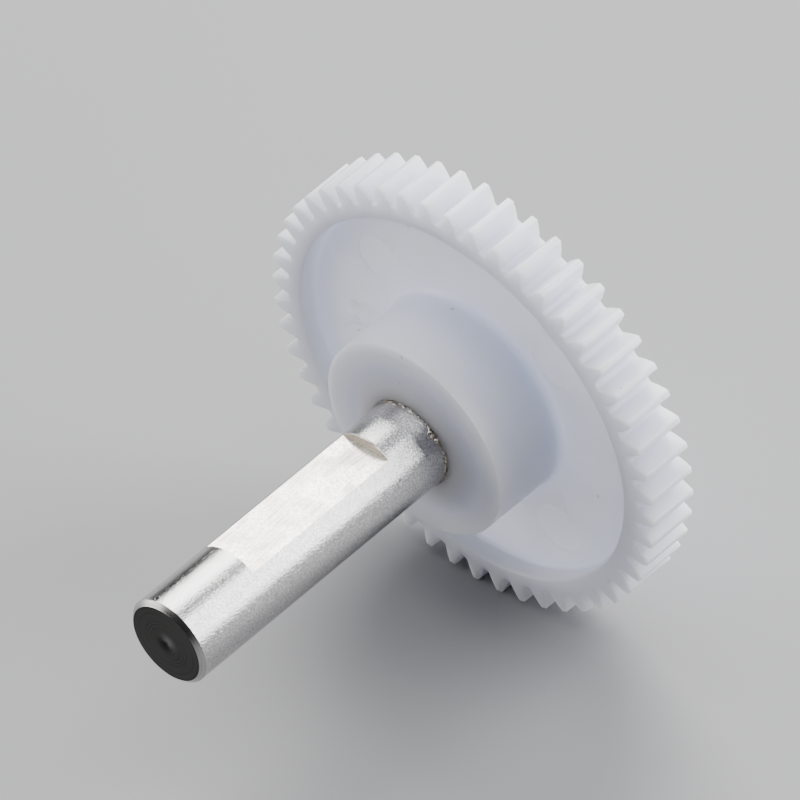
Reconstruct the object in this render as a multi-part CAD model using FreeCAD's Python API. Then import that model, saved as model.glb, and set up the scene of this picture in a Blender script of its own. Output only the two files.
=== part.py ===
"""Extruder gear assembly: a moulded spur gear fixed on a flatted steel shaft.

Millimetres. The spin axis is Y. The long end of the shaft points to -Y and the
back of the gear to +Y. The origin is on the axis, in the middle of the teeth's
width. The grub-screw flat on the shaft faces +Z.
"""
import FreeCAD, Part
import math
import os

# Teeth: a standard 20 degree involute.
MODULE = 0.5
TOOTH_COUNT = 50
PRESSURE_ANGLE = math.radians(20.0)
ADDENDUM = 1.0 * MODULE
DEDENDUM = 1.25 * MODULE
BACKLASH = 0.03
TIP_ROUNDING = 0.06
ROOT_ROUNDING = 0.15
FLANK_POINTS = 7
TOOTH_PHASE = math.radians(1.0)

# Rim, web and hub of the gear.
FACE_WIDTH = 3.1
RECESS_RADIUS = 11.0
FRONT_RECESS_DEPTH = 1.12
WEB_THICKNESS = 1.1
RECESS_CORNER = 0.25
HUB_RADIUS = 5.85
HUB_LENGTH = 3.55
HUB_FILLET = 0.45
HUB_EDGE = 0.08
COLLAR_RADIUS = 4.4
COLLAR_HEIGHT = 0.3
COLLAR_ROUNDING = 4.0
BACK_BOSS_RADIUS = 4.6
BACK_BOSS_STEP = 0.15

# Flat round marks that the mould's ejector pins leave in the web's front. Each pin
# stands at a distance from the spin axis and at an angle in degrees about it.
EJECTOR_RADIUS = 1.5
EJECTOR_DEPTH = 0.05
EJECTOR_PLACES = ((7.85, 39.3), (8.15, 135.5), (8.1, 222.0), (8.55, 305.0))

# Shaft.
SHAFT_RADIUS = 2.5
SHAFT_FRONT = -23.5
SHAFT_BACK = 4.6
SHAFT_CHAMFER = 0.25
FLAT_HEIGHT = 1.95
FLAT_FRONT = -18.5
FLAT_BACK = -8.4
KNURL_RIDGES = 60
KNURL_CREST = 2.6
KNURL_ROOT = 2.45

PITCH_RADIUS = MODULE * TOOTH_COUNT / 2
BASE_RADIUS = PITCH_RADIUS * math.cos(PRESSURE_ANGLE)
TIP_RADIUS = PITCH_RADIUS + ADDENDUM
ROOT_RADIUS = PITCH_RADIUS - DEDENDUM
PITCH_STEP = 2 * math.pi / TOOTH_COUNT

RIM_FRONT = -FACE_WIDTH / 2
RIM_BACK = FACE_WIDTH / 2
WEB_FRONT = RIM_FRONT + FRONT_RECESS_DEPTH
WEB_BACK = WEB_FRONT + WEB_THICKNESS
HUB_FRONT = RIM_FRONT - HUB_LENGTH
FOOT_RADIUS = HUB_RADIUS + HUB_FILLET
COLLAR_FRONT = HUB_FRONT - COLLAR_HEIGHT
BOSS_BACK = RIM_BACK + BACK_BOSS_STEP
KNURL_FRONT = COLLAR_FRONT
KNURL_BACK = BOSS_BACK

ORIGIN = FreeCAD.Vector(0, 0, 0)
AXIS = FreeCAD.Vector(0, 1, 0)
FULL_TURN = 360
SHORTEST_EDGE = 1e-6
CUT_PAST = 1.0


def around_axis(radius, angle, y=0.0):
    """A point at a radius and an angle about the spin axis."""
    return FreeCAD.Vector(radius * math.cos(angle), y, radius * math.sin(angle))


def involute(radius):
    """The involute function of the pressure angle at this radius."""
    angle = math.acos(BASE_RADIUS / radius)
    return math.tan(angle) - angle


def half_tooth_angle(radius):
    """Half of the tooth's thickness at this radius, as an angle."""
    thickness = math.pi * MODULE / 2 - BACKLASH
    return thickness / (2 * PITCH_RADIUS) + involute(PITCH_RADIUS) - involute(radius)


def flank(centre, side):
    """Points up one flank, from the root rounding to the tip rounding."""
    start = ROOT_RADIUS + ROOT_ROUNDING
    end = TIP_RADIUS - TIP_ROUNDING
    radii = [start + (end - start) * i / (FLANK_POINTS - 1) for i in range(FLANK_POINTS)]
    return [around_axis(r, centre + side * half_tooth_angle(r)) for r in radii]


def curve_through(points):
    """One smooth edge through the points."""
    curve = Part.BSplineCurve()
    curve.interpolate(points)
    return curve.toShape()


def blend(start, corner, end):
    """A rounded corner: a curve that leaves and arrives along the corner's sides."""
    curve = Part.BezierCurve()
    curve.setPoles([start, corner, end])
    return curve.toShape()


def tooth_edges(index):
    """The outline of one tooth and of the gap that follows it."""
    centre = TOOTH_PHASE + index * PITCH_STEP
    rising = flank(centre, -1)
    falling = flank(centre, 1)
    falling.reverse()
    next_rising = flank(centre + PITCH_STEP, -1)

    tip_corner_half = half_tooth_angle(TIP_RADIUS)
    tip_land_half = tip_corner_half - TIP_ROUNDING / TIP_RADIUS
    tip_start = around_axis(TIP_RADIUS, centre - tip_land_half)
    tip_end = around_axis(TIP_RADIUS, centre + tip_land_half)

    root_corner_half = half_tooth_angle(ROOT_RADIUS)
    root_land_half = root_corner_half + ROOT_ROUNDING / ROOT_RADIUS
    root_start = around_axis(ROOT_RADIUS, centre + root_land_half)
    root_end = around_axis(ROOT_RADIUS, centre + PITCH_STEP - root_land_half)

    return [
        curve_through(rising),
        blend(rising[-1], around_axis(TIP_RADIUS, centre - tip_corner_half), tip_start),
        Part.Arc(tip_start, around_axis(TIP_RADIUS, centre), tip_end).toShape(),
        blend(tip_end, around_axis(TIP_RADIUS, centre + tip_corner_half), falling[0]),
        curve_through(falling),
        blend(falling[-1], around_axis(ROOT_RADIUS, centre + root_corner_half), root_start),
        Part.Arc(
            root_start, around_axis(ROOT_RADIUS, centre + PITCH_STEP / 2), root_end
        ).toShape(),
        blend(
            root_end,
            around_axis(ROOT_RADIUS, centre + PITCH_STEP - root_corner_half),
            next_rising[0],
        ),
    ]


def toothed_disc():
    """The toothed rim as a solid disc of the gear's full face width."""
    edges = []
    for index in range(TOOTH_COUNT):
        edges.extend(tooth_edges(index))
    outline = Part.Wire(edges)
    outline.translate(AXIS * RIM_FRONT)
    return Part.Face(outline).extrude(AXIS * FACE_WIDTH)


def turned(corners):
    """Revolve a closed outline of (radius, y, rounding) corners about the spin axis."""
    points = [FreeCAD.Vector(radius, y, 0) for radius, y, _ in corners]
    arcs = []
    for i, (_, _, rounding) in enumerate(corners):
        arcs.append(corner_arc(points[i - 1], points[i], points[(i + 1) % len(points)], rounding))
    edges = []
    for i, (start, middle, end) in enumerate(arcs):
        previous_end = arcs[i - 1][2]
        if previous_end.distanceToPoint(start) > SHORTEST_EDGE:
            edges.append(Part.LineSegment(previous_end, start).toShape())
        if start.distanceToPoint(end) > SHORTEST_EDGE:
            edges.append(Part.Arc(start, middle, end).toShape())
    return Part.Face(Part.Wire(edges)).revolve(ORIGIN, AXIS, FULL_TURN)


def corner_arc(before, corner, after, rounding):
    """Start, middle and end of the arc that rounds a corner between two straight sides."""
    to_before = (before - corner).normalize()
    to_after = (after - corner).normalize()
    inward = (to_before + to_after).normalize()
    half_angle = to_before.getAngle(to_after) / 2
    side = rounding / math.tan(half_angle)
    centre = corner + inward * (rounding / math.sin(half_angle))
    return corner + to_before * side, centre - inward * rounding, corner + to_after * side


def recess(outside, floor):
    """A ring-shaped pocket in one side of the disc, down to the web."""
    return turned(
        [
            (0.0, outside, 0.0),
            (RECESS_RADIUS, outside, 0.0),
            (RECESS_RADIUS, floor, RECESS_CORNER),
            (0.0, floor, 0.0),
        ]
    )


def hub():
    """The hub in front, with its swelling at the shaft, and the low boss at the back."""
    return turned(
        [
            (0.0, COLLAR_FRONT, 0.0),
            (KNURL_CREST, COLLAR_FRONT, 0.0),
            (COLLAR_RADIUS, HUB_FRONT, COLLAR_ROUNDING),
            (HUB_RADIUS, HUB_FRONT, HUB_EDGE),
            (HUB_RADIUS, WEB_FRONT, HUB_FILLET),
            (FOOT_RADIUS, WEB_FRONT, 0.0),
            (FOOT_RADIUS, WEB_BACK, 0.0),
            (BACK_BOSS_RADIUS, WEB_BACK, HUB_FILLET),
            (BACK_BOSS_RADIUS, BOSS_BACK, HUB_EDGE),
            (0.0, BOSS_BACK, 0.0),
        ]
    )


def ejector_marks():
    """Four shallow discs, cut a little way into the web."""
    marks = []
    for distance, degrees in EJECTOR_PLACES:
        base = around_axis(distance, math.radians(degrees), WEB_FRONT - CUT_PAST)
        marks.append(Part.makeCylinder(EJECTOR_RADIUS, CUT_PAST + EJECTOR_DEPTH, base, AXIS))
    return marks


def knurl():
    """Straight ridges around the length of shaft that is inside the hub."""
    outline = []
    for i in range(2 * KNURL_RIDGES):
        radius = KNURL_CREST if i % 2 else KNURL_ROOT
        outline.append(around_axis(radius, math.pi * i / KNURL_RIDGES, KNURL_FRONT))
    face = Part.Face(Part.makePolygon(outline + outline[:1]))
    return face.extrude(AXIS * (KNURL_BACK - KNURL_FRONT))


def front_journal():
    """The round length in front of the flat, with its chamfered end."""
    return turned(
        [
            (0.0, SHAFT_FRONT, 0.0),
            (SHAFT_RADIUS - SHAFT_CHAMFER, SHAFT_FRONT, 0.0),
            (SHAFT_RADIUS, SHAFT_FRONT + SHAFT_CHAMFER, 0.0),
            (SHAFT_RADIUS, FLAT_FRONT, 0.0),
            (0.0, FLAT_FRONT, 0.0),
        ]
    )


def flatted_length():
    """The length of shaft that has the flat milled across it."""
    half_angle = math.acos(FLAT_HEIGHT / SHAFT_RADIUS)
    start = around_axis(SHAFT_RADIUS, math.pi / 2 - half_angle, FLAT_FRONT)
    bottom = around_axis(SHAFT_RADIUS, -math.pi / 2, FLAT_FRONT)
    end = around_axis(SHAFT_RADIUS, math.pi / 2 + half_angle, FLAT_FRONT)
    section = Part.Wire(
        [Part.Arc(start, bottom, end).toShape(), Part.LineSegment(end, start).toShape()]
    )
    return Part.Face(section).extrude(AXIS * (FLAT_BACK - FLAT_FRONT))


def rear_length():
    """The round neck behind the flat, the knurled length and the rear journal."""
    body = turned(
        [
            (0.0, FLAT_BACK, 0.0),
            (SHAFT_RADIUS, FLAT_BACK, 0.0),
            (SHAFT_RADIUS, KNURL_FRONT, 0.0),
            (KNURL_ROOT, KNURL_FRONT, 0.0),
            (KNURL_ROOT, KNURL_BACK, 0.0),
            (SHAFT_RADIUS, KNURL_BACK, 0.0),
            (SHAFT_RADIUS, SHAFT_BACK - SHAFT_CHAMFER, 0.0),
            (SHAFT_RADIUS - SHAFT_CHAMFER, SHAFT_BACK, 0.0),
            (0.0, SHAFT_BACK, 0.0),
        ]
    )
    return body.fuse(knurl()).removeSplitter()


def drive_shaft():
    """The steel shaft. Its round and flatted lengths keep walls of their own."""
    return front_journal().fuse([flatted_length(), rear_length()])


def spur_gear(shaft):
    """The moulded gear, with a bore that is the exact shape of the knurled shaft."""
    gear = toothed_disc()
    gear = gear.cut(recess(RIM_FRONT - CUT_PAST, WEB_FRONT))
    gear = gear.cut(recess(RIM_BACK + CUT_PAST, WEB_BACK))
    gear = gear.fuse(hub()).removeSplitter()
    for mark in ejector_marks():
        gear = gear.cut(mark)
    return gear.cut(shaft)


def single_solid(shape):
    """The one solid that a piece is made of."""
    if len(shape.Solids) != 1 or not shape.isValid():
        raise ValueError("a piece must be one valid solid")
    return shape.Solids[0]


def main():
    os.makedirs("parts", exist_ok=True)
    shaft = single_solid(drive_shaft())
    pieces = {
        "drive_shaft": shaft,
        "spur_gear": single_solid(spur_gear(shaft)),
    }
    for name, solid in pieces.items():
        solid.exportStep(f"parts/{name}.step")


main()
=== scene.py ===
"""Looks of the extruder gear assembly: a moulded acetal gear on a ground steel shaft.

Lengths are millimetres, except that lights, floor and camera are placed in metres.
The spin axis is Y, the shaft's long end points to -Y and its flat faces +Z.
"""
import math

import bpy
from mathutils import Matrix, Vector, noise
from mathutils.geometry import delaunay_2d_cdt


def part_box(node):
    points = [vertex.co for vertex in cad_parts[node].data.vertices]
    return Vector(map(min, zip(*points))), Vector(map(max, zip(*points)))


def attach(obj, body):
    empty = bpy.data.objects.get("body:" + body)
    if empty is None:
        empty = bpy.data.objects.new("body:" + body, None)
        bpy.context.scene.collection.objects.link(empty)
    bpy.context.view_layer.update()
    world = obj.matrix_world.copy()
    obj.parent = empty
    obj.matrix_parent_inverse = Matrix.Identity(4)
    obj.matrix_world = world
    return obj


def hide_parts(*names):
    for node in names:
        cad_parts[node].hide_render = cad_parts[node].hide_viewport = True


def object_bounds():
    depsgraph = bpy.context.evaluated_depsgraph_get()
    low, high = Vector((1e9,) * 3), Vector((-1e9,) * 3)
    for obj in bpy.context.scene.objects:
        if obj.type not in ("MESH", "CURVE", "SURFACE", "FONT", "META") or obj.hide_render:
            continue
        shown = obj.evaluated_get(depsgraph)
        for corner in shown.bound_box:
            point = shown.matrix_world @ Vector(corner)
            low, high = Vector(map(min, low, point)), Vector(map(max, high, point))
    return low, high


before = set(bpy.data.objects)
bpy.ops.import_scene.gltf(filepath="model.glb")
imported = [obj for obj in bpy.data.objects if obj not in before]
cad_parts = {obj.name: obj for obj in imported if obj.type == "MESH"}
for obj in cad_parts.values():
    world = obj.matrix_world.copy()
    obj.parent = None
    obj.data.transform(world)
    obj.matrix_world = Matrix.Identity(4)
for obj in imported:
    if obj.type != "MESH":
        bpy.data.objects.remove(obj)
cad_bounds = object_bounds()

MM = 0.001
GEAR_LOW, GEAR_HIGH = (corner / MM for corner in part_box("spur_gear"))
SHAFT_LOW, SHAFT_HIGH = (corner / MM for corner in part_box("drive_shaft"))

# Teeth.
TOOTH_COUNT = 50
MODULE = 0.5
PRESSURE_ANGLE = math.radians(20.0)
BACKLASH = 0.03
TIP_ROUNDING = 0.06
ROOT_ROUNDING = 0.15
TOOTH_PHASE = math.radians(1.0)
FRONT_END_ROUNDING = 0.12
BACK_END_ROUNDING = 0.03
SMALLEST_ROUNDING = 0.01
ADDENDUM = MODULE
DEDENDUM = 1.25 * MODULE
PITCH_RADIUS = MODULE * TOOTH_COUNT / 2
BASE_RADIUS = PITCH_RADIUS * math.cos(PRESSURE_ANGLE)
TIP_RADIUS = PITCH_RADIUS + ADDENDUM
ROOT_RADIUS = PITCH_RADIUS - DEDENDUM
PITCH_STEP = 2 * math.pi / TOOTH_COUNT

# Gear body, placed from the frame. The collar is the swell of the hub's face.
COLLAR_HEIGHT = 0.3
HUB_LENGTH = 3.55
FACE_WIDTH = 3.1
FRONT_RECESS_DEPTH = 1.12
WEB_THICKNESS = 1.1
COLLAR_FRONT = GEAR_LOW.y
HUB_FRONT = COLLAR_FRONT + COLLAR_HEIGHT
RIM_FRONT = HUB_FRONT + HUB_LENGTH
RIM_BACK = RIM_FRONT + FACE_WIDTH
WEB_FRONT = RIM_FRONT + FRONT_RECESS_DEPTH
WEB_BACK = WEB_FRONT + WEB_THICKNESS
BOSS_BACK = GEAR_HIGH.y
RECESS_RADIUS = 11.0
RECESS_EDGE = 0.14
RECESS_CORNER = 0.25
HUB_RADIUS = 5.85
HUB_DRAFT = 0.03
HUB_FILLET = 0.45
HUB_EDGE = 0.04
COLLAR_RADIUS = 4.4
BOSS_RADIUS = 4.6

# Marks in the web: their places are (distance from the axis, angle in degrees).
EJECTOR_RADIUS = 1.5
EJECTOR_DEPTH = 0.05
EJECTOR_PLACES = ((7.85, 39.3), (8.15, 135.5), (8.1, 222.0), (8.55, 305.0))
PIP_RADIUS = 0.38
PIP_HEIGHT = 0.09
PIP_PLACES = ((8.2, 170.5), (8.2, 178.5))
GATE_RADIUS = 0.6
GATE_DEPTH = 0.12
GATE_PLACES = ((8.15, 90.0), (8.15, 210.0), (8.15, 330.0))

# Shaft, placed from the frame.
SHAFT_RADIUS = 2.5
SHAFT_CHAMFER = 0.25
FRONT_JOURNAL_LENGTH = 5.0
FLAT_LENGTH = 10.1
FLAT_HEIGHT = 1.95
SHAFT_FRONT = SHAFT_LOW.y
SHAFT_BACK = SHAFT_HIGH.y
FLAT_FRONT = SHAFT_FRONT + FRONT_JOURNAL_LENGTH
FLAT_BACK = FLAT_FRONT + FLAT_LENGTH
FLAT_MIDDLE_ANGLE = math.pi / 2
FLAT_HALF_ANGLE = math.acos(FLAT_HEIGHT / SHAFT_RADIUS)
DIMPLE_PROFILE = ((1.6, 0.0), (0.8, 0.0), (0.16, 0.0), (0.11, 0.03), (0.05, 0.04))

# Knurl in the bore. It shows a little in front of the hub, under torn flakes of metal, and it is
# whole from the torn depth on. The bore's torn mouth has a flat lip round it.
KNURL_RIDGES = 60
KNURL_CREST = 2.6
KNURL_ROOT = 2.45
TORN_DEPTH = 0.12
KNURL_SHOWS = 0.32
KNURL_FADE = 0.10
TORN_RIDGE_SHARE = 0.5
TORN_GROOVE_SHARE = 0.6
FLAKE_HEIGHT = 0.05
TORN_LOOK_HEIGHT = 0.012
BORE_CLEARANCE = 0.01
MOUTH_RADIUS = 2.56
MOUTH_TEAR = 0.10
MOUTH_LIP = 0.12

# Burr behind the flat: its profile is (share of the width, share of the height).
BURR_HEIGHT = 0.08
BURR_WIDTH = 0.13
BURR_PROFILE = ((0.0, 0.75), (0.2, 1.0), (0.4, 0.92), (0.7, 0.45), (0.9, 0.0), (1.0, 0.0))

# Noise in the torn places and the burr: its level, how far it swings about that, how fine its
# waves are, and which part of the noise is taken.
TEAR_LEVEL = 0.35
TEAR_COARSE_SWING = 0.9
TEAR_COARSE_WAVES = 5.0
TEAR_FINE_SWING = 0.7
TEAR_FINE_WAVES = 22.0
REACH_LEVEL = 0.5
REACH_SWING = 1.1
REACH_LOWEST = 0.1
REACH_WAVES = 6.0
REACH_SHIFT = 1.7
FLAKE_LEVEL = 0.3
FLAKE_SWING = 1.7
FLAKE_WAVES_ROUND = 10.0
FLAKE_WAVES_ALONG = 5.0
BURR_LEVEL = 0.55
BURR_SWING = 1.3
BURR_LOWEST = 0.15
BURR_WAVES = 9.0
BURR_SHIFT = (0.3, 0.7)

# Fineness of the meshes.
ROUND_STEPS = 288
EJECTOR_STEPS = 72
GATE_STEPS = 48
PIP_STEPS = 32
ARC_STEPS = 6
FLANK_STEPS = 6
SWELL_STEPS = 10
SOFT_EDGE_STEPS = 4
FLAT_STEPS = 40
TORN_STEPS = 24
SHAFT_COLUMNS = 10 * KNURL_RIDGES
SAME_POINT = 1e-7
SHARP_ANGLE = math.radians(35.0)

# Materials of the shaft, in the order of its slots.
GROUND, MILLED, TURNED, CHAMFERED, STEPPED, PARTED, TORN = range(7)


# ---------------------------------------------------------------- mesh helpers


class Skin:
    """A mesh that is built ring by ring, in millimetres."""

    def __init__(self):
        self.points = []
        self.faces = []
        self.materials = []
        self.material = 0

    def ring(self, points):
        """Add a closed ring of points and return their indices."""
        first = len(self.points)
        self.points.extend(Vector(p) for p in points)
        return list(range(first, len(self.points)))

    def face(self, indices):
        """Add a face, leaving out corners that are the same point."""
        corners = [i for n, i in enumerate(indices) if i != indices[n - 1]]
        if len(set(corners)) > 2:
            self.faces.append(corners)
            self.materials.append(self.material)

    def bridge(self, one, other):
        """Join two rings with the same number of points by quads."""
        count = len(one)
        for i in range(count):
            j = (i + 1) % count
            self.face([one[i], one[j], other[j], other[i]])

    def sweep(self, rings):
        """Join each ring to the next one."""
        for one, other in zip(rings, rings[1:]):
            self.bridge(one, other)

    def fill(self, outer, holes=()):
        """Fill the flat region between an outer ring and the holes in it."""
        loops = [outer, *holes]
        indices = [i for loop in loops for i in loop]
        flat = [Vector((self.points[i].x, self.points[i].z)) for i in indices]
        sides = []
        start = 0
        for loop in loops:
            sides.append(list(range(start, start + len(loop))))
            start += len(loop)
        inside_only = 1
        _, _, faces, sources, _, origins = delaunay_2d_cdt(flat, [], sides, inside_only, SAME_POINT)
        for corners, origin in zip(faces, origins):
            if list(origin) == [0]:
                self.face([indices[sources[c][0]] for c in corners])

    def build(self, name, materials):
        """Make the Blender object, smooth and with its faces pointing outwards."""
        mesh = bpy.data.meshes.new(name)
        mesh.from_pydata([p * MM for p in self.points], [], self.faces)
        for material in materials:
            mesh.materials.append(material)
        mesh.polygons.foreach_set("material_index", self.materials)
        mesh.polygons.foreach_set("use_smooth", [True] * len(self.faces))
        obj = bpy.data.objects.new(name, mesh)
        bpy.context.scene.collection.objects.link(obj)
        bpy.context.view_layer.objects.active = obj
        obj.select_set(True)
        bpy.ops.object.mode_set(mode="EDIT")
        bpy.ops.mesh.select_all(action="SELECT")
        bpy.ops.mesh.delete_loose()
        bpy.ops.mesh.select_all(action="SELECT")
        bpy.ops.mesh.normals_make_consistent(inside=False)
        bpy.ops.object.mode_set(mode="OBJECT")
        obj.select_set(False)
        mesh.set_sharp_from_angle(angle=SHARP_ANGLE)
        weighted = obj.modifiers.new("even_shading", "WEIGHTED_NORMAL")
        weighted.mode = "FACE_AREA"
        weighted.weight = 100
        weighted.keep_sharp = True
        return obj


def around_axis(radius, angle, y):
    """A point at a radius and an angle about the spin axis."""
    return Vector((radius * math.cos(angle), y, radius * math.sin(angle)))


def circle(radius, y, steps=ROUND_STEPS, centre=(0.0, 0.0)):
    """A ring of evenly spaced points, about the spin axis or about another centre."""
    offset = Vector((centre[0], 0.0, centre[1]))
    return [offset + around_axis(radius, 2 * math.pi * i / steps, y) for i in range(steps)]


def shaped_ring(angles, y, radius_at):
    """A ring about the spin axis whose radius is a function of the angle."""
    return [around_axis(radius_at(angle), angle, y) for angle in angles]


def arc(centre, radius, start_degrees, end_degrees, steps=ARC_STEPS):
    """Points of an arc in the (radius, y) plane."""
    points = []
    for i in range(steps + 1):
        angle = math.radians(start_degrees + (end_degrees - start_degrees) * i / steps)
        points.append((centre[0] + radius * math.cos(angle), centre[1] + radius * math.sin(angle)))
    return points


def rounded(start, corner, end, steps):
    """Points of the curve that rounds a corner, leaving and arriving along its sides."""
    points = []
    for i in range(steps + 1):
        t = i / steps
        weights = ((1 - t) ** 2, 2 * t * (1 - t), t**2)
        points.append(
            tuple(
                weights[0] * s + weights[1] * c + weights[2] * e
                for s, c, e in zip(start, corner, end)
            )
        )
    return points


def smooth_step(t):
    """From 0 to 1 with no corner at either end."""
    t = min(max(t, 0.0), 1.0)
    return t * t * (3 - 2 * t)


def round_noise(angle, waves, shift=0.0):
    """Smooth noise about 0 that closes on itself round the shaft."""
    place = Vector((math.cos(angle), math.sin(angle), 0.0)) * waves
    return noise.noise(place + Vector((0.0, 0.0, shift)))


def as_share(value, lowest=0.0):
    """The value, held between a lowest share and 1."""
    return min(max(value, lowest), 1.0)


# ---------------------------------------------------------------- gear mesh


def involute(radius):
    """The involute function of the pressure angle at this radius."""
    angle = math.acos(BASE_RADIUS / radius)
    return math.tan(angle) - angle


def half_tooth_angle(radius):
    """Half of the tooth's thickness at this radius, as an angle."""
    thickness = math.pi * MODULE / 2 - BACKLASH
    return thickness / (2 * PITCH_RADIUS) + involute(PITCH_RADIUS) - involute(radius)


def half_tooth(shrink):
    """One side of a tooth as (radius, angle from its middle), from the root gap to the tip.

    Every side is moved into the material by the distance shrink.
    """
    root = ROOT_RADIUS - shrink
    tip = TIP_RADIUS - shrink
    root_rounding = ROOT_ROUNDING + shrink
    tip_rounding = max(TIP_ROUNDING - shrink, SMALLEST_ROUNDING)

    def flank_point(radius):
        return radius, half_tooth_angle(radius) - shrink / radius

    root_corner = flank_point(root)
    root_start = (root, root_corner[1] + root_rounding / root)
    tip_corner = flank_point(tip)
    tip_end = (tip, tip_corner[1] - tip_rounding / tip)
    foot = root + root_rounding
    top = tip - tip_rounding
    flank = [flank_point(foot + (top - foot) * i / FLANK_STEPS) for i in range(FLANK_STEPS + 1)]
    return (
        [(root, PITCH_STEP / 2)]
        + rounded(root_start, root_corner, flank[0], steps=4)
        + flank[1:-1]
        + rounded(flank[-1], tip_corner, tip_end, steps=5)
        + [(tip, tip_end[1] / 2)]
    )


def tooth_outline(shrink, y):
    """The closed outline of all the teeth at y, moved into the material by a distance."""
    side = half_tooth(shrink)
    points = []
    for index in range(TOOTH_COUNT):
        middle = TOOTH_PHASE + index * PITCH_STEP
        points.extend(around_axis(radius, middle - angle, y) for radius, angle in side)
        points.append(around_axis(TIP_RADIUS - shrink, middle, y))
        points.extend(around_axis(radius, middle + angle, y) for radius, angle in side[:0:-1])
    return points


def tooth_rings(skin):
    """The toothed face of the rim, from the back to the front, with rounded ends."""
    back_centre = (BACK_END_ROUNDING, RIM_BACK - BACK_END_ROUNDING)
    front_centre = (FRONT_END_ROUNDING, RIM_FRONT + FRONT_END_ROUNDING)
    back_end = arc(back_centre, BACK_END_ROUNDING, 90, 180, steps=3)
    front_end = arc(front_centre, FRONT_END_ROUNDING, 180, 270, steps=5)
    rings = [skin.ring(tooth_outline(shrink, y)) for shrink, y in back_end + front_end]
    skin.sweep(rings)
    return rings[0], rings[-1]


def turned_rings(skin, profile):
    """Rings about the axis for a profile of (radius, y) points, joined up."""
    rings = [skin.ring(circle(radius, y)) for radius, y in profile]
    skin.sweep(rings)
    return rings[0], rings[-1]


def recess_profile(rim, web):
    """From the rim's face over the recess's edge, down its wall and round onto the web."""
    into = 1 if web > rim else -1
    edge_centre = (RECESS_RADIUS + RECESS_EDGE, rim + into * RECESS_EDGE)
    corner_centre = (RECESS_RADIUS - RECESS_CORNER, web - into * RECESS_CORNER)
    edge = arc(edge_centre, RECESS_EDGE, -90 * into, -180 * into, steps=4)
    corner = arc(corner_centre, RECESS_CORNER, 0, 90 * into)
    return edge + corner


def hub_profile():
    """From the web up the hub's side and over its face to the bore."""
    side_low = HUB_RADIUS + HUB_DRAFT
    foot = arc((side_low + HUB_FILLET, WEB_FRONT - HUB_FILLET), HUB_FILLET, 90, 180, steps=8)
    edge = arc((HUB_RADIUS - HUB_EDGE, HUB_FRONT + HUB_EDGE), HUB_EDGE, 0, -90)
    swelling = []
    mouth = MOUTH_RADIUS + MOUTH_TEAR + MOUTH_LIP
    for i in range(SWELL_STEPS + 1):
        t = i / SWELL_STEPS
        radius = COLLAR_RADIUS + (mouth - COLLAR_RADIUS) * t
        swelling.append((radius, HUB_FRONT + (COLLAR_FRONT - HUB_FRONT) * smooth_step(t)))
    return foot + edge + swelling


def boss_profile():
    """From the back web over the low boss, to the flat ring round the bore."""
    foot = arc((BOSS_RADIUS + HUB_FILLET, WEB_BACK + HUB_FILLET), HUB_FILLET, -90, -180)
    edge = arc((BOSS_RADIUS - HUB_EDGE, BOSS_BACK - HUB_EDGE), HUB_EDGE, 0, 90)
    return foot + edge


def knurl_radius(angle):
    """Radius of the straight knurl at an angle: sharp ridges with open grooves."""
    phase = (angle * KNURL_RIDGES / (2 * math.pi)) % 1.0
    return KNURL_ROOT + (KNURL_CREST - KNURL_ROOT) * (1 - abs(2 * phase - 1))


def bore_radius(angle):
    """Radius of the bore at an angle: a hair wider than the knurl that sits in it."""
    return knurl_radius(angle) + BORE_CLEARANCE


def torn_radius(angle):
    """Radius of the bore's mouth, where the shaft tore the plastic as it went in."""
    coarse = round_noise(angle, TEAR_COARSE_WAVES)
    fine = round_noise(angle, TEAR_FINE_WAVES)
    tear = as_share(TEAR_LEVEL + TEAR_COARSE_SWING * coarse + TEAR_FINE_SWING * fine)
    return MOUTH_RADIUS + MOUTH_TEAR * tear


def sunk_disc(skin, radius, depth, place, web, into, steps):
    """A shallow round mark in the web. Returns its outer ring.

    Its soft edge is as wide as the mark is deep, up to a third of the radius.
    """
    distance, angle = place[0], math.radians(place[1])
    centre = (distance * math.cos(angle), distance * math.sin(angle))
    edge = min(abs(depth), radius / 3)
    rings = []
    for step in range(SOFT_EDGE_STEPS + 1):
        share = step / SOFT_EDGE_STEPS
        y = web + into * depth * smooth_step(share)
        rings.append(skin.ring(circle(radius - edge * share, y, steps, centre)))
    skin.sweep(rings)
    skin.fill(rings[-1])
    return rings[0]


def front_side(skin, rim_front):
    """The gear's front, from the rim over the web and its marks to the hub. Returns its mouth."""
    edge, floor = turned_rings(skin, recess_profile(RIM_FRONT, WEB_FRONT))
    skin.fill(rim_front, [edge])
    hub_foot, hub_mouth = turned_rings(skin, hub_profile())
    marks = [
        sunk_disc(skin, EJECTOR_RADIUS, EJECTOR_DEPTH, place, WEB_FRONT, 1, EJECTOR_STEPS)
        for place in EJECTOR_PLACES
    ]
    marks += [
        sunk_disc(skin, PIP_RADIUS, -PIP_HEIGHT, place, WEB_FRONT, 1, PIP_STEPS)
        for place in PIP_PLACES
    ]
    skin.fill(floor, [hub_foot, *marks])
    return hub_mouth


def back_side(skin, rim_back):
    """The gear's back, from the rim over the web and its gate marks to the boss's face."""
    edge, floor = turned_rings(skin, recess_profile(RIM_BACK, WEB_BACK))
    skin.fill(rim_back, [edge])
    boss_foot, boss_face = turned_rings(skin, boss_profile())
    gates = [
        sunk_disc(skin, GATE_RADIUS, GATE_DEPTH, place, WEB_BACK, -1, GATE_STEPS)
        for place in GATE_PLACES
    ]
    skin.fill(floor, [boss_foot, *gates])
    return boss_face


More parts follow.
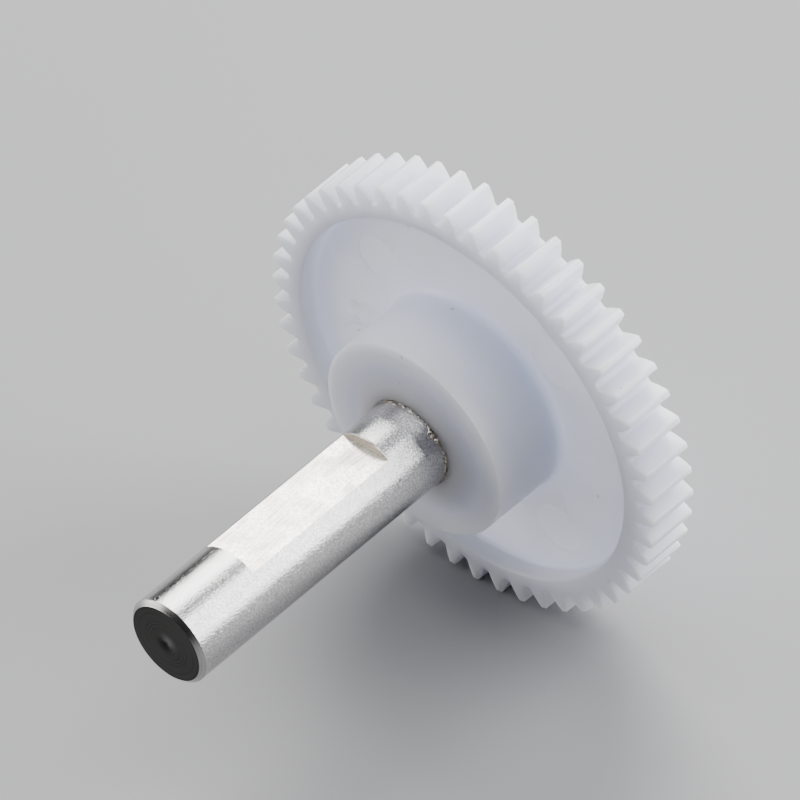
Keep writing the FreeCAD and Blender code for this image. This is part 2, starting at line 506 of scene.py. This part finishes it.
def gear_piece(material):
    """The whole moulded gear as one closed skin."""
    skin = Skin()
    rim_back, rim_front = tooth_rings(skin)
    hub_mouth = front_side(skin, rim_front)
    boss_face = back_side(skin, rim_back)
    angles = [2 * math.pi * i / SHAFT_COLUMNS for i in range(SHAFT_COLUMNS)]
    bore = [
        skin.ring(shaped_ring(angles, COLLAR_FRONT, torn_radius)),
        skin.ring(shaped_ring(angles, COLLAR_FRONT + TORN_DEPTH, bore_radius)),
        skin.ring(shaped_ring(angles, BOSS_BACK, bore_radius)),
    ]
    skin.sweep(bore)
    skin.fill(hub_mouth, [bore[0]])
    skin.fill(boss_face, [bore[-1]])
    return skin.build("acetal_gear", [material])


# ---------------------------------------------------------------- shaft mesh


def shaft_angles():
    """Angles of the shaft's columns: those across the flat come first."""
    first = FLAT_MIDDLE_ANGLE - FLAT_HALF_ANGLE
    last = FLAT_MIDDLE_ANGLE + FLAT_HALF_ANGLE
    round_steps = SHAFT_COLUMNS - FLAT_STEPS
    round_length = 2 * math.pi - 2 * FLAT_HALF_ANGLE
    across = [first + 2 * FLAT_HALF_ANGLE * i / FLAT_STEPS for i in range(FLAT_STEPS)]
    return across + [last + round_length * i / round_steps for i in range(round_steps)]


def flat_ring(skin, base, y):
    """The ring with the flat cut across it. The round part keeps the points of the base ring."""
    half_width = math.sqrt(SHAFT_RADIUS**2 - FLAT_HEIGHT**2)
    new = list(base)
    for i in range(1, FLAT_STEPS):
        x = half_width * (1 - 2 * i / FLAT_STEPS)
        new[i] = skin.ring([(x, y, FLAT_HEIGHT)])[0]
    return new


def burr_height(angle):
    """How high the cutter's ragged burr stands at the flat's end."""
    across = (angle - FLAT_MIDDLE_ANGLE) / FLAT_HALF_ANGLE
    if abs(across) > 1:
        return 0.0
    rough = BURR_LEVEL + BURR_SWING * noise.noise(Vector((across * BURR_WAVES, *BURR_SHIFT)))
    return BURR_HEIGHT * as_share(rough, BURR_LOWEST) * (1 - across**4)


def burr_rings(skin, angles):
    """The burr behind the flat, from its front edge over its crest down to the round neck."""
    rings = []
    for along, high in BURR_PROFILE:
        y = FLAT_BACK + BURR_WIDTH * along
        rings.append(skin.ring(shaped_ring(angles, y, lambda a: SHAFT_RADIUS + high * burr_height(a))))
    return rings


def torn_knurl(y):
    """Radius function at y where the knurl comes up unevenly, under torn flakes of metal."""

    def radius_at(angle):
        reach_noise = round_noise(angle, REACH_WAVES, REACH_SHIFT)
        reach = as_share(REACH_LEVEL + REACH_SWING * reach_noise, REACH_LOWEST)
        risen = smooth_step((y - COLLAR_FRONT + KNURL_SHOWS * reach) / KNURL_FADE)
        flake_noise = round_noise(angle, FLAKE_WAVES_ROUND, FLAKE_WAVES_ALONG * y)
        flake = as_share(FLAKE_LEVEL + FLAKE_SWING * flake_noise)
        proud = knurl_radius(angle) - SHAFT_RADIUS
        ridge = flake * (TORN_RIDGE_SHARE * max(proud, 0.0) + FLAKE_HEIGHT)
        groove = TORN_GROOVE_SHARE * min(proud, 0.0)
        return SHAFT_RADIUS + risen * (ridge + groove)

    return radius_at


def end_face(skin, angles, outer, y, inward):
    """A turned end face, with the small dimple that the tool left in its middle."""
    rings = [outer]
    for radius, depth in DIMPLE_PROFILE:
        rings.append(skin.ring(shaped_ring(angles, y + inward * depth, lambda _: radius)))
    skin.sweep(rings)
    skin.face(rings[-1])


def bridge_flat(skin, low, high):
    """Join two rings of the flat's length: the flat as milled, the rest as ground."""
    count = len(low)
    for i in range(count):
        j = (i + 1) % count
        skin.material = MILLED if i < FLAT_STEPS else GROUND
        skin.face([low[i], low[j], high[j], high[i]])


def bridge_torn(skin, one, other):
    """Join two rings of the knurl: what stands proud is torn and matt, the rest is ground."""
    count = len(one)
    for i in range(count):
        j = (i + 1) % count
        middle = (skin.points[other[i]] + skin.points[other[j]]) / 2
        proud = math.hypot(middle.x, middle.z) - SHAFT_RADIUS
        skin.material = TORN if proud > TORN_LOOK_HEIGHT else GROUND
        skin.face([one[i], one[j], other[j], other[i]])


def flat_length(skin, angles, flat_start):
    """The flat with its two end walls, and the burr behind it. Returns the burr's last ring."""
    flat_low = flat_ring(skin, flat_start, FLAT_FRONT)
    burr = burr_rings(skin, angles)
    flat_high = flat_ring(skin, burr[0], FLAT_BACK)
    skin.material = STEPPED
    skin.bridge(flat_start, flat_low)
    skin.bridge(flat_high, burr[0])
    bridge_flat(skin, flat_low, flat_high)
    for one, other in zip(burr, burr[1:]):
        bridge_flat(skin, one, other)
    return burr[-1]


def knurled_length(skin, angles, torn_start, start):
    """The knurl, torn where it starts and whole inside the hub. Returns its last ring."""
    rings = [torn_start]
    end = COLLAR_FRONT + TORN_DEPTH
    for i in range(1, TORN_STEPS + 1):
        y = start + (end - start) * i / TORN_STEPS
        rings.append(skin.ring(shaped_ring(angles, y, torn_knurl(y))))
    rings.append(skin.ring(shaped_ring(angles, end, knurl_radius)))
    rings.append(skin.ring(shaped_ring(angles, BOSS_BACK, knurl_radius)))
    for one, other in zip(rings, rings[1:]):
        bridge_torn(skin, one, other)
    return rings[-1]


def shaft_piece(materials):
    """The whole shaft as one closed skin with a material for each kind of surface."""
    skin = Skin()
    angles = shaft_angles()

    def round_ring(y, radius=SHAFT_RADIUS):
        return skin.ring(shaped_ring(angles, y, lambda _: radius))

    front_face = round_ring(SHAFT_FRONT, SHAFT_RADIUS - SHAFT_CHAMFER)
    skin.material = TURNED
    end_face(skin, angles, front_face, SHAFT_FRONT, 1)
    front_round = round_ring(SHAFT_FRONT + SHAFT_CHAMFER)
    skin.material = CHAMFERED
    skin.bridge(front_face, front_round)

    flat_start = round_ring(FLAT_FRONT)
    skin.material = GROUND
    skin.bridge(front_round, flat_start)
    neck_start = flat_length(skin, angles, flat_start)

    torn_y = COLLAR_FRONT - KNURL_SHOWS
    torn_start = round_ring(torn_y)
    skin.material = GROUND
    skin.bridge(neck_start, torn_start)
    knurl_end = knurled_length(skin, angles, torn_start, torn_y)

    back_start = round_ring(BOSS_BACK)
    back_round = round_ring(SHAFT_BACK - SHAFT_CHAMFER)
    skin.material = GROUND
    skin.sweep([knurl_end, back_start, back_round])

    back_face = round_ring(SHAFT_BACK, SHAFT_RADIUS - SHAFT_CHAMFER)
    skin.material = CHAMFERED
    skin.bridge(back_round, back_face)
    skin.material = PARTED
    end_face(skin, angles, back_face, SHAFT_BACK, -1)
    return skin.build("steel_shaft", materials)


# ---------------------------------------------------------------- materials


class Nodes:
    """A material's node tree, with short calls for the nodes used here."""

    def __init__(self, name):
        self.material = bpy.data.materials.new(name)
        self.material.use_nodes = True
        self.tree = self.material.node_tree
        self.shader = self.tree.nodes["Principled BSDF"]

    def add(self, kind, values=None, **settings):
        """Add a node, set its properties, and set or link its inputs."""
        node = self.tree.nodes.new(kind)
        for name, value in settings.items():
            setattr(node, name, value)
        for name, value in (values or {}).items():
            self.put(node.inputs[name], value)
        return node

    def put(self, socket, value):
        """Link an output to a socket, or set the socket's own value."""
        if isinstance(value, bpy.types.NodeSocket):
            self.tree.links.new(value, socket)
        else:
            socket.default_value = value

    def set(self, **values):
        """Set or link the shader's sockets; an underscore stands for a space."""
        for name, value in values.items():
            self.put(self.shader.inputs[name.replace("_", " ")], value)

    def place(self):
        """The point on the object, in millimetres."""
        where = self.add("ShaderNodeTexCoord")
        return self.add(
            "ShaderNodeVectorMath", {0: where.outputs["Object"], "Scale": 1 / MM}, operation="SCALE"
        ).outputs[0]

    def stretched(self, vector, scale):
        """The place, stretched by a scale along each axis."""
        return self.add("ShaderNodeVectorMath", {0: vector, 1: scale}, operation="MULTIPLY").outputs[0]

    def from_axis(self, vector):
        """The distance of a place from the spin axis."""
        across = self.stretched(vector, (1.0, 0.0, 1.0))
        return self.add("ShaderNodeVectorMath", {0: across}, operation="LENGTH").outputs["Value"]

    def noise(self, vector, scale, detail):
        """Fractal noise from 0 to 1."""
        node = self.add("ShaderNodeTexNoise", {"Vector": vector, "Scale": scale, "Detail": detail})
        return node.outputs["Fac"]

    def maths(self, operation, one, other):
        """A sum on two numbers."""
        return self.add("ShaderNodeMath", {0: one, 1: other}, operation=operation).outputs[0]

    def between(self, factor, low=0.0, high=1.0, from_low=0.0, from_high=1.0):
        """A number that goes from low to high as the factor goes from one value to another."""
        node = self.add(
            "ShaderNodeMapRange",
            {"Value": factor, "From Min": from_low, "From Max": from_high, "To Min": low, "To Max": high},
        )
        return node.outputs["Result"]

    def blend(self, factor, one, other):
        """A colour between two colours."""
        node = self.add("ShaderNodeMix", data_type="RGBA")
        self.put(node.inputs["Factor"], factor)
        self.put(node.inputs["A"], one)
        self.put(node.inputs["B"], other)
        return node.outputs["Result"]

    def round_the_axis(self):
        """The direction round the spin axis."""
        return self.add("ShaderNodeTangent", direction_type="RADIAL", axis="Y").outputs["Tangent"]

    def bump(self, height, strength, distance, under=None):
        """A bump from a height, over a distance in millimetres and on top of another bump."""
        values = {"Height": height, "Strength": strength, "Distance": distance * MM}
        if under is not None:
            values["Normal"] = under
        return self.add("ShaderNodeBump", values).outputs["Normal"]


def dark_specks(n, place):
    """How dark the acetal is at a place: specks with ragged edges, in a few cells only."""
    raggedness = 0.1
    darkness = 0.42
    cells = n.add("ShaderNodeTexVoronoi", {"Vector": place, "Scale": 0.62, "Randomness": 1.0})
    ragged = n.maths("MULTIPLY", n.noise(place, scale=9.0, detail=2.0), raggedness)
    distance = n.maths("SUBTRACT", cells.outputs["Distance"], ragged)
    speck = n.between(distance, low=1.0, high=0.0, from_high=0.02)
    number = n.add("ShaderNodeSeparateColor", {"Color": cells.outputs["Color"]}).outputs[0]
    few = n.between(number, from_low=0.72, from_high=0.76)
    return n.maths("MULTIPLY", n.maths("MULTIPLY", speck, few), darkness)


def acetal_material():
    """Natural white acetal: milky, a little translucent, with a satin moulded skin."""
    n = Nodes("natural_acetal")
    place = n.place()
    cloud = n.noise(place, scale=0.35, detail=2.0)
    body = n.blend(cloud, (0.755, 0.785, 0.945, 1), (0.80, 0.83, 0.975, 1))
    # Painted shade: the colour darkens to a brown grey towards the shaft. It stands in for the shade
    # round the shaft and the dark steel seen through the hub.
    painted_shade_radius = 4.6
    painted_shade_near_shaft = n.between(
        n.from_axis(place), low=0.6, high=0.0, from_low=SHAFT_RADIUS, from_high=painted_shade_radius
    )
    body_with_painted_shade = n.blend(painted_shade_near_shaft, body, (0.47, 0.42, 0.39, 1))
    skin = n.noise(place, scale=14.0, detail=4.0)
    waves = n.noise(place, scale=0.5, detail=2.0)
    wavy = n.bump(waves, strength=0.4, distance=0.08)
    n.set(
        Base_Color=n.blend(dark_specks(n, place), body_with_painted_shade, (0.30, 0.27, 0.25, 1)),
        Roughness=n.between(n.noise(place, scale=3.0, detail=4.0), low=0.25, high=0.35),
        Normal=n.bump(skin, strength=0.25, distance=0.012, under=wavy),
        Subsurface_Weight=1.0,
        Subsurface_Radius=(1.0, 0.97, 1.0),
        Subsurface_Scale=2.8 * MM,
        IOR=1.48,
    )
    return n.material


def ground_material():
    """Ground round steel: a fine sparkling grain and a few faint lengthwise drag marks.

    The grinding runs round the shaft, so highlights are drawn out along it.
    """
    n = Nodes("ground_steel")
    place = n.place()
    fine = n.noise(n.stretched(place, (1.0, 0.8, 1.0)), scale=12.0, detail=2.0)
    grain = n.between(fine, from_low=0.32, from_high=0.68)
    drag = n.noise(n.stretched(place, (9.0, 0.22, 9.0)), scale=1.3, detail=2.0)
    marks = n.bump(n.between(drag, from_low=0.66, from_high=0.78), strength=0.5, distance=0.006)
    n.set(
        Base_Color=n.blend(grain, (0.37, 0.362, 0.36, 1), (0.74, 0.73, 0.725, 1)),
        Metallic=1.0,
        Roughness=n.between(n.noise(place, scale=2.2, detail=4.0), low=0.20, high=0.28),
        Normal=n.bump(grain, strength=1.0, distance=0.006, under=marks),
        Tangent=n.round_the_axis(),
        Anisotropic=0.85,
        Anisotropic_Rotation=0.25,
    )
    return n.material


def milled_material(name, low, high, stretch):
    """A cut face: warm and matt, with fine scratches one way and a speckled grain."""
    n = Nodes(name)
    place = n.place()
    lines = n.noise(n.stretched(place, stretch), scale=1.9, detail=3.0)
    scratch = n.between(lines, from_low=0.34, from_high=0.62)
    grain = n.between(n.noise(place, scale=7.5, detail=3.0), from_low=0.34, from_high=0.64)
    patches = n.noise(place, scale=0.7, detail=3.0)
    blotch = n.between(patches, low=0.15, high=0.75, from_low=0.38, from_high=0.62)
    scratched = n.maths("MULTIPLY", scratch, blotch)
    speckled = n.maths("MULTIPLY", grain, n.maths("SUBTRACT", 1.0, blotch))
    rough = n.bump(grain, strength=0.6, distance=0.006)
    n.set(
        Base_Color=n.blend(n.maths("ADD", scratched, speckled), low, high),
        Metallic=1.0,
        Roughness=n.between(blotch, low=0.30, high=0.50),
        Normal=n.bump(scratch, strength=0.6, distance=0.006, under=rough),
    )
    return n.material


def turned_material(name, low, high):
    """A turned face: fine rings about the axis that stretch the highlight across them."""
    n = Nodes(name)
    place = n.place()
    wobble_height = 0.08
    wobble = n.maths("MULTIPLY", n.noise(place, scale=1.5, detail=2.0), wobble_height)
    radius = n.maths("ADD", n.from_axis(place), wobble)
    ring_values = {"W": radius, "Scale": 12.0, "Detail": 3.0}
    rings = n.add("ShaderNodeTexNoise", ring_values, noise_dimensions="1D").outputs["Fac"]
    n.set(
        Base_Color=n.blend(n.between(rings, from_low=0.32, from_high=0.68), low, high),
        Metallic=1.0,
        Roughness=n.between(rings, low=0.18, high=0.30),
        Normal=n.bump(rings, strength=0.4, distance=0.006),
        Tangent=n.round_the_axis(),
        Anisotropic=0.8,
    )
    return n.material


# ---------------------------------------------------------------- stage, lights and camera


def floor_piece(height):
    """A wide pale floor."""
    n = Nodes("pale_floor")
    cloud = n.noise(n.place(), scale=0.02, detail=2.0)
    n.set(
        Base_Color=n.blend(cloud, (0.27, 0.27, 0.274, 1), (0.295, 0.295, 0.30, 1)),
        Roughness=0.6,
    )
    half = 3.0
    mesh = bpy.data.meshes.new("floor")
    corners = [(-half, -half, height), (half, -half, height), (half, half, height), (-half, half, height)]
    mesh.from_pydata(corners, [], [(0, 1, 2, 3)])
    mesh.materials.append(n.material)
    floor = bpy.data.objects.new("floor", mesh)
    bpy.context.scene.collection.objects.link(floor)


def soft_light(name, around, forward, distance, width, length, radiance, colour):
    """A softbox facing the gear.

    Its place is an angle about Y in degrees and a share of the way along +Y.
    """
    angle = math.radians(around)
    level = math.sqrt(1 - forward**2)
    outward = Vector((level * math.cos(angle), forward, level * math.sin(angle)))
    sideways = Vector((-math.sin(angle), 0.0, math.cos(angle)))
    light = bpy.data.lights.new(name, "AREA")
    light.shape = "RECTANGLE"
    light.size = width
    light.size_y = length
    light.energy = radiance * math.pi * width * length
    light.color = colour
    lamp = bpy.data.objects.new(name, light)
    bpy.context.scene.collection.objects.link(lamp)
    turn = Matrix((sideways, outward.cross(sideways), outward)).transposed()
    lamp.matrix_world = Matrix.Translation(outward * distance) @ turn.to_4x4()


def lights():
    """Two softboxes behind with a gap between them, one overhead and one at the front left."""
    soft_light(
        "back_left_box", around=123.0, forward=0.60, distance=0.6,
        width=0.46, length=0.33, radiance=12.6, colour=(0.99, 0.985, 0.97),
    )
    soft_light(
        "back_right_box", around=36.0, forward=0.60, distance=0.6,
        width=0.62, length=0.33, radiance=9.7, colour=(0.965, 0.98, 1.0),
    )
    soft_light(
        "top_box", around=90.0, forward=0.0, distance=0.7,
        width=0.9, length=0.4, radiance=4.4, colour=(0.98, 0.99, 1.0),
    )
    soft_light(
        "front_left_box", around=163.0, forward=-0.48, distance=0.7,
        width=0.45, length=0.45, radiance=3.8, colour=(1.0, 0.995, 0.985),
    )
    world = bpy.data.worlds.new("studio")
    world.use_nodes = True
    background = world.node_tree.nodes["Background"]
    background.inputs["Color"].default_value = (0.9, 0.94, 1.0, 1)
    background.inputs["Strength"].default_value = 0.03
    bpy.context.scene.world = world


def camera():
    """The camera: a long lens, above and to the right, leaning a little."""
    azimuth = math.radians(47.53)
    elevation = math.radians(43.01)
    lean = math.radians(7.5)
    distance = 0.690
    target = Vector((-2.68, -3.21, -0.21)) * MM
    level = math.cos(elevation)
    back = Vector((math.sin(azimuth) * level, -math.cos(azimuth) * level, math.sin(elevation)))
    data = bpy.data.cameras.new("camera")
    data.sensor_width = 36.0
    data.lens = 611.7
    data.clip_start = 0.05
    data.clip_end = 20.0
    shooter = bpy.data.objects.new("camera", data)
    bpy.context.scene.collection.objects.link(shooter)
    facing = (-back).to_track_quat("-Z", "Y").to_matrix() @ Matrix.Rotation(-lean, 3, "Z")
    shooter.matrix_world = Matrix.Translation(target + back * distance) @ facing.to_4x4()
    bpy.context.scene.camera = shooter


# ---------------------------------------------------------------- scene

gear = gear_piece(acetal_material())
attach(gear, "root")
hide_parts("spur_gear")

shaft = shaft_piece([
    ground_material(),
    milled_material("milled_flat", (0.52, 0.46, 0.405, 1), (0.97, 0.955, 0.93, 1), (8.0, 0.3, 1.0)),
    # The front end face's colour is nearly black. This is a painted dark reflection standing in for the
    # dark surroundings the turned face would mirror, not the steel's own tone.
    turned_material("turned_end_painted_dark", (0.004, 0.004, 0.0035, 1), (0.038, 0.037, 0.034, 1)),
    turned_material("turned_chamfer", (0.36, 0.35, 0.34, 1), (0.50, 0.49, 0.48, 1)),
    milled_material("milled_step", (0.64, 0.55, 0.46, 1), (0.99, 0.92, 0.81, 1), (0.6, 1.0, 6.0)),
    turned_material("turned_back_end", (0.13, 0.128, 0.12, 1), (0.30, 0.295, 0.285, 1)),
    milled_material("torn_flakes", (0.20, 0.17, 0.14, 1), (0.66, 0.58, 0.50, 1), (4.0, 1.0, 4.0)),
])
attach(shaft, "root")
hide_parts("drive_shaft")

floor_piece(cad_bounds[0].z)
lights()
camera()
